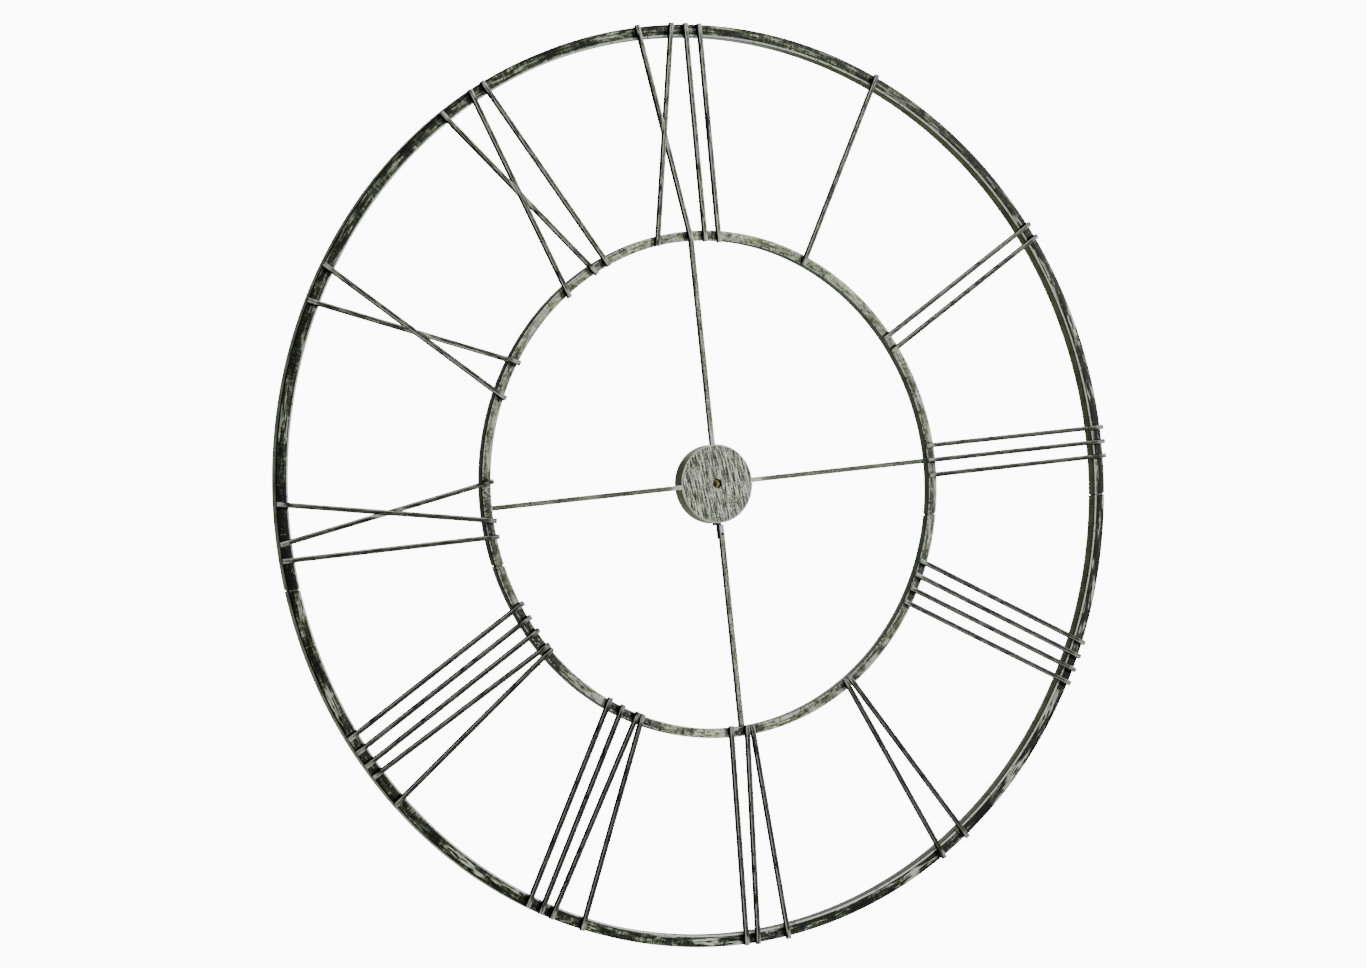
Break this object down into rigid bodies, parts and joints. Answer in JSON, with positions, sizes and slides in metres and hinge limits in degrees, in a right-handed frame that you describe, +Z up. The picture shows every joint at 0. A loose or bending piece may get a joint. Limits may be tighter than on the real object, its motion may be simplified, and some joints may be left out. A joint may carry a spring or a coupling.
{
  "type": "wall clock",
  "caption": "Large open-frame metal wall clock: two square-tube rings, welded rod Roman numerals, four spokes and a hub drum that holds a quartz movement.",
  "frame": {"origin": "on the arbor axis, in the plane of the hub's front face, where the hour hand seats on its pipe", "axes": "+Z up to 12 o'clock, +X to 3 o'clock, the clock faces -Y and its back is towards +Y; joints turn clockwise, seen from the front, for positive values"},
  "size_m": [1.1463, 0.028, 1.1467],
  "materials": {
    "outer_frame": "dark gunmetal, brushed and worn to grey on the edges",
    "inner_frame": "grey-green brushed lacquer over steel",
    "numeral_rods": "grey-green brushed lacquer, edges worn bright",
    "spoke_rods": "grey-green brushed lacquer",
    "bracket_black": "satin black",
    "tongue_steel": "bare mill finish",
    "zinc_steel": "bright zinc",
    "hub_face": "mottled grey-green, brushed up and down",
    "hub_side": "dark olive",
    "plate_steel": "satin black",
    "brass": "dull",
    "case_plastic": "fine texture",
    "gear_plastic": "acetal",
    "knob_plastic": "moulded",
    "cell_wrap": null,
    "circuit_board": "solder mask",
    "enamelled_copper": "enamel",
    "core_steel": "bare"
  },
  "bodies": {
    "root": {"outer_ring_upper": "outer_frame", "outer_ring_lower": "outer_frame", "inner_ring_upper": "inner_frame", "inner_ring_lower": "inner_frame", "numeral_01": "numeral_rods", "numeral_02": "numeral_rods", "numeral_03": "numeral_rods", "numeral_04": "numeral_rods", "numeral_05": "numeral_rods", "numeral_06": "numeral_rods", "numeral_07": "numeral_rods", "numeral_08": "numeral_rods", "numeral_09": "numeral_rods", "numeral_10": "numeral_rods", "numeral_11": "numeral_rods", "numeral_12": "numeral_rods", "spoke_top": "spoke_rods", "spoke_right": "spoke_rods", "spoke_bottom": "spoke_rods", "spoke_left": "spoke_rods", "spoke_bracket": "bracket_black", "spoke_screw": "bracket_black", "outer_tongues": "tongue_steel", "inner_tongues": "tongue_steel", "outer_ring_screws": "zinc_steel", "inner_ring_screws": "zinc_steel", "hub_face": "hub_face", "hub_wall": "hub_side", "movement_plate": "plate_steel", "movement_washer": "brass", "movement_nut": "brass", "bushing": "brass", "case_front": "case_plastic", "case_back": "case_plastic", "train_bridge": "gear_plastic", "cell": "cell_wrap", "contact_positive": "zinc_steel", "contact_negative": "zinc_steel", "circuit_board": "circuit_board", "quartz_crystal": "zinc_steel", "coil_bobbin": "gear_plastic", "coil_winding": "enamelled_copper", "stator": "core_steel"},
    "hour_hand_pipe": {"hour_pipe": "brass"},
    "minute_train": {"minute_arbor": "brass"},
    "seconds_train": {"second_arbor": "zinc_steel"},
    "third_wheel": {"third_wheel": "gear_plastic"},
    "fifth_wheel": {"fifth_wheel": "gear_plastic"},
    "rotor": {"rotor": "zinc_steel", "rotor_magnet": "core_steel"},
    "motion_work": {"minute_wheel": "gear_plastic", "setting_knob": "knob_plastic"}
  },
  "joints": [
    {"name": "minute_turn", "type": "hinge", "parent": "root", "child": "minute_train", "pos_m": [0, 0, 0], "axis": [0, 1, 0], "continuous": true},
    {"name": "hour_turn", "type": "hinge", "parent": "root", "child": "hour_hand_pipe", "pos_m": [0, 0, 0], "axis": [0, 1, 0], "continuous": true},
    {"name": "second_turn", "type": "hinge", "parent": "root", "child": "seconds_train", "pos_m": [0, 0, 0], "axis": [0, 1, 0], "continuous": true},
    {"name": "third_turn", "type": "hinge", "parent": "root", "child": "third_wheel", "pos_m": [0.00264, 0, 0.00985], "axis": [0, 1, 0], "continuous": true},
    {"name": "fifth_turn", "type": "hinge", "parent": "root", "child": "fifth_wheel", "pos_m": [-0.00797, 0, 0.0007], "axis": [0, 1, 0], "continuous": true},
    {"name": "rotor_turn", "type": "hinge", "parent": "root", "child": "rotor", "pos_m": [-0.01182, 0, 0.00737], "axis": [0, 1, 0], "continuous": true},
    {"name": "motion_work_turn", "type": "hinge", "parent": "root", "child": "motion_work", "pos_m": [0.0105, 0, 0], "axis": [0, 1, 0], "continuous": true}
  ],
  "couplings": [
    {"joint": "hour_turn", "follows": "minute_turn", "ratio": 0.083333},
    {"joint": "second_turn", "follows": "minute_turn", "ratio": 60},
    {"joint": "third_turn", "follows": "minute_turn", "ratio": -8},
    {"joint": "fifth_turn", "follows": "minute_turn", "ratio": -180},
    {"joint": "rotor_turn", "follows": "minute_turn", "ratio": 1800},
    {"joint": "motion_work_turn", "follows": "minute_turn", "ratio": -0.25}
  ]
}
